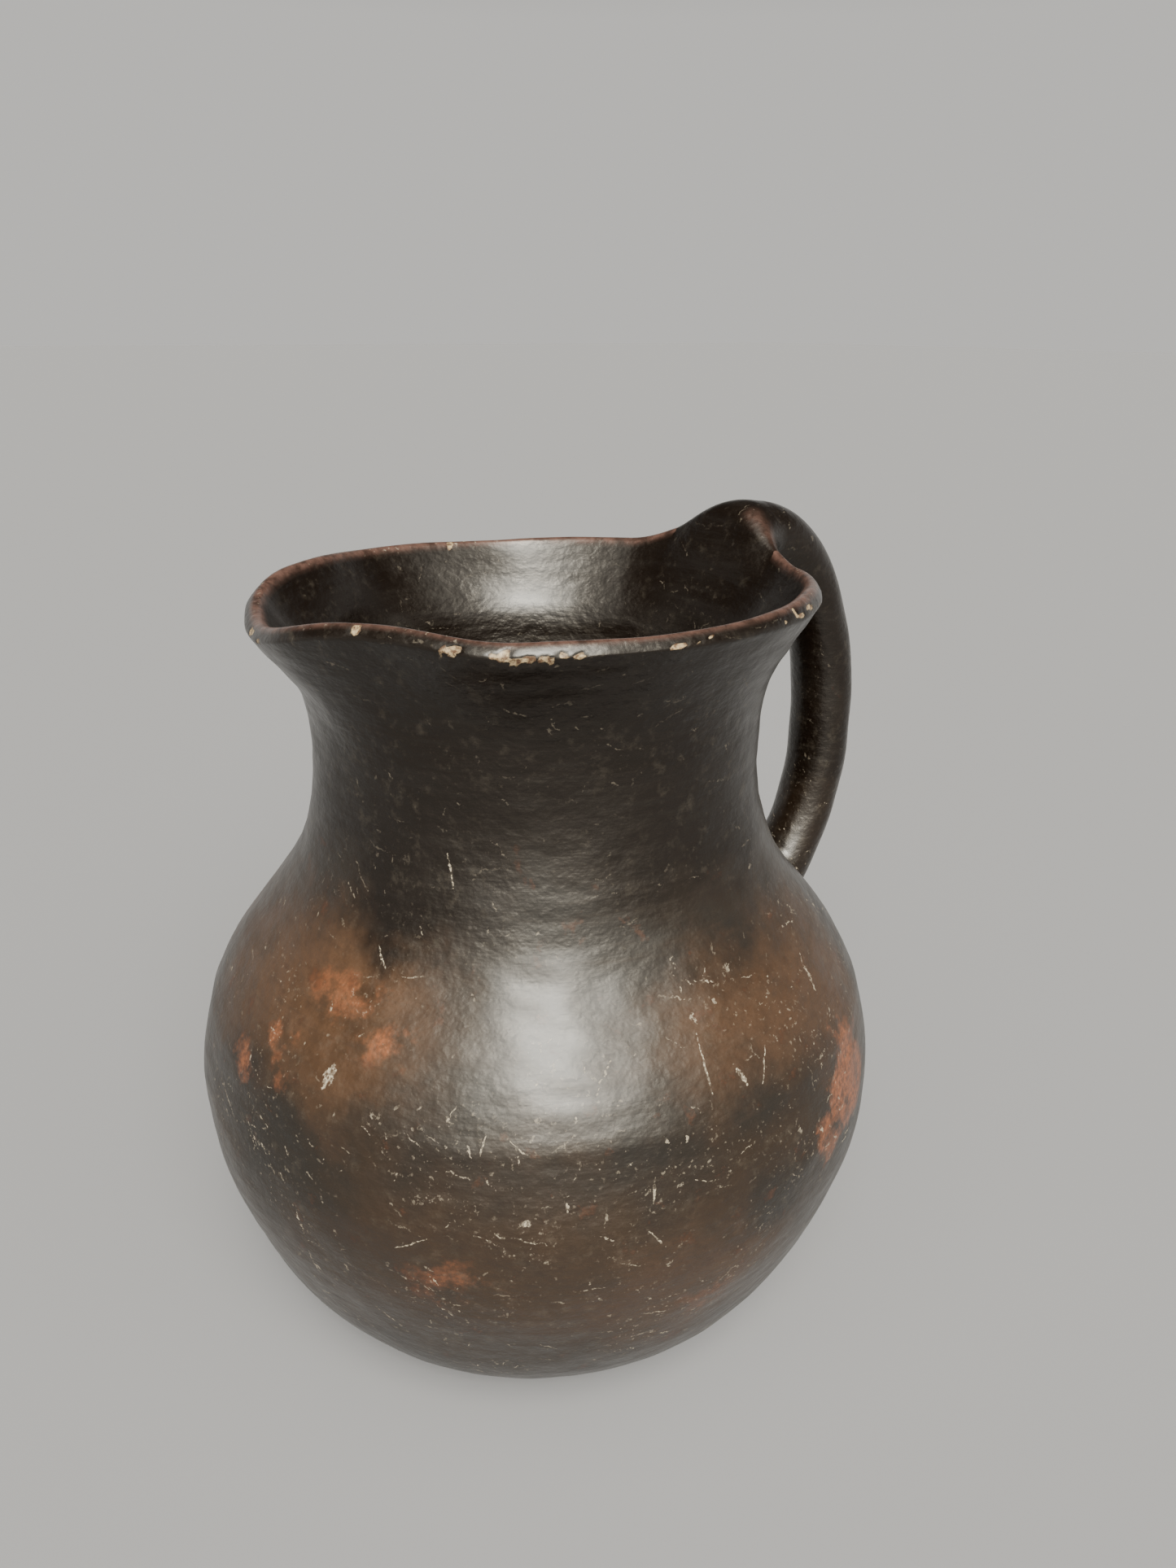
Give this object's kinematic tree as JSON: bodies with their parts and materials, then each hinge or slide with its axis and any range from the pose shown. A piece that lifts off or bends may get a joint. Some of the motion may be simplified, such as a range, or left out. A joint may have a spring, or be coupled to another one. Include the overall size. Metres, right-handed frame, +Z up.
{
  "type": "clay jug",
  "caption": "Coil-built burnished black clay jug with a round belly, short neck, flared rim, pinched spout and one loop handle.",
  "frame": {"origin": "centre of the flat foot, on the surface that the jug stands on", "axes": "+Z up along the body's turning axis, +X towards the handle, the spout about opposite"},
  "size_m": [0.2037, 0.178, 0.2095],
  "materials": {
    "body_clay": "satin",
    "rim_clay": "satin",
    "handle_clay": "satin"
  },
  "bodies": {
    "root": {"base_bowl": "body_clay", "lower_belly_coil": "body_clay", "upper_belly_coil": "body_clay", "shoulder_coil": "body_clay", "neck_coil": "body_clay", "rim_and_spout": "rim_clay", "handle": "handle_clay", "handle_root_lute": "handle_clay", "handle_foot_lute": "handle_clay"}
  },
  "joints": []
}
